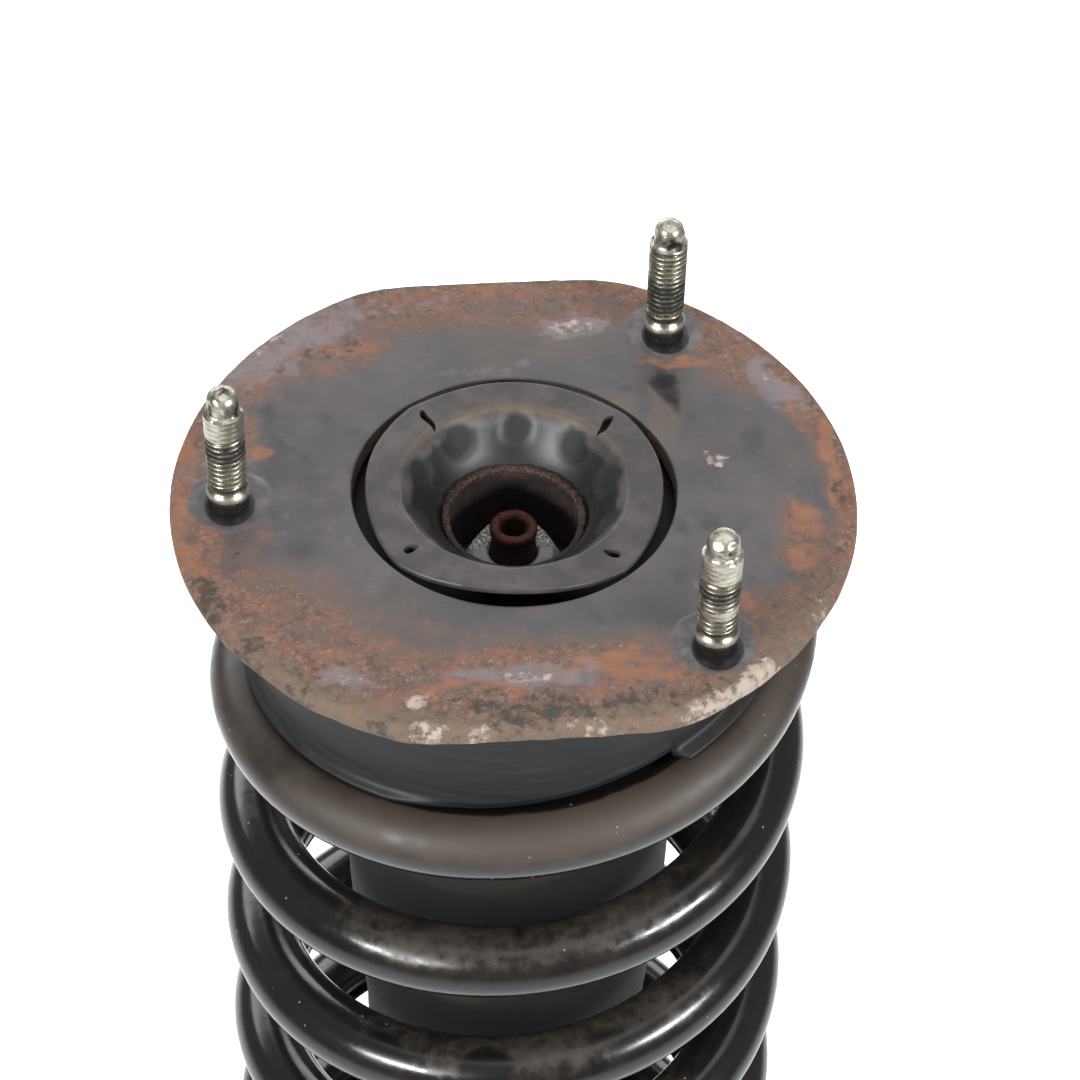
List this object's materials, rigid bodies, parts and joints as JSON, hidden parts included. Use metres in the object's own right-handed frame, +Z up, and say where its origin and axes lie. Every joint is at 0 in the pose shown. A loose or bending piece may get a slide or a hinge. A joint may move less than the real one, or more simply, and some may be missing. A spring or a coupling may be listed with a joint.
{
  "type": "strut assembly",
  "caption": "Coil-over damper strut: coil spring around a gas damper, rubber top mount with a studded round plate, and a rubber-bushed lower eye.",
  "frame": {"origin": "centre of the bolt bore in the lower eye", "axes": "+Z up the damper rod to the mount plate; the lower bolt lies along Y; the single stud stands on the -X side"},
  "size_m": [0.14, 0.137, 0.4935],
  "materials": {
    "plate_steel": "worn dark grey paint over pressed steel, rusted at the rim",
    "stud_steel": "zinc plated, rolled thread",
    "rubber": "moulded natural rubber, satin",
    "coated_disc": "glossy black coat on pressed steel",
    "rusted_steel": "bare steel with red rust",
    "zinc_steel": "zinc plated steel, dull",
    "rod_steel": "hard chrome",
    "foam": "closed-cell polyurethane",
    "dust_plastic": "moulded plastic, dusty",
    "spring_paint": "gloss black powder coat",
    "alloy": "turned",
    "seal_plastic": "filled PTFE",
    "tube_paint": "semi-gloss black paint",
    "seal_rubber": "nitrile rubber",
    "bronze": "sintered bronze"
  },
  "bodies": {
    "top_mount": {"mount_plate": "plate_steel", "mount_studs": "stud_steel", "mount_housing": "plate_steel", "mount_rubber": "rubber", "upper_spring_seat": "plate_steel", "upper_spring_pad": "rubber"},
    "damper_rod": {"retainer_disc": "coated_disc", "centre_sleeve": "rusted_steel", "rod_washer": "zinc_steel", "rod_nut": "zinc_steel", "piston_rod": "rod_steel", "bump_stop_cup": "zinc_steel", "bump_stop": "foam", "dust_tube": "dust_plastic", "coil_spring": "spring_paint", "rebound_stop": "zinc_steel", "upper_valve_shims": "rod_steel", "piston": "alloy", "piston_band": "seal_plastic", "lower_valve_shims": "rod_steel", "piston_nut": "zinc_steel"},
    "damper_body": {"damper_tube": "tube_paint", "rod_guide": "alloy", "rod_guide_seal_ring": "seal_rubber", "rod_guide_bush": "bronze", "rod_seal": "seal_rubber", "lower_spring_seat": "tube_paint", "lower_spring_pad": "rubber", "lower_eye": "tube_paint", "eye_rubber": "rubber"},
    "gas_piston": {"floating_piston": "alloy", "floating_piston_ring": "seal_rubber"},
    "eye_sleeve": {"lower_sleeve": "zinc_steel"}
  },
  "joints": [
    {"name": "mount_tilt", "type": "hinge", "parent": "top_mount", "child": "damper_rod", "pos_m": [0, 0, 0.43125], "axis": [0, 1, 0], "range_deg": [-2, 2], "stiffness_Nm_per_rad": 250, "deforming": ["mount_rubber", "upper_spring_pad"]},
    {"name": "damper_stroke", "type": "slide", "parent": "damper_rod", "child": "damper_body", "axis": [0, 0, 1], "range_m": [0, 0.105], "stiffness_N_per_m": 56000, "springref_m": -0.01, "deforming": ["coil_spring", "bump_stop"]},
    {"name": "gas_piston_slide", "type": "slide", "parent": "damper_body", "child": "gas_piston", "axis": [0, 0, -1], "range_m": [0, 0.0098]},
    {"name": "eye_twist", "type": "hinge", "parent": "damper_body", "child": "eye_sleeve", "pos_m": [0, 0, 0], "axis": [0, 1, 0], "range_deg": [-15, 15], "stiffness_Nm_per_rad": 60, "deforming": ["eye_rubber"]}
  ],
  "couplings": [
    {"joint": "gas_piston_slide", "follows": "damper_stroke", "ratio": 0.0926}
  ]
}
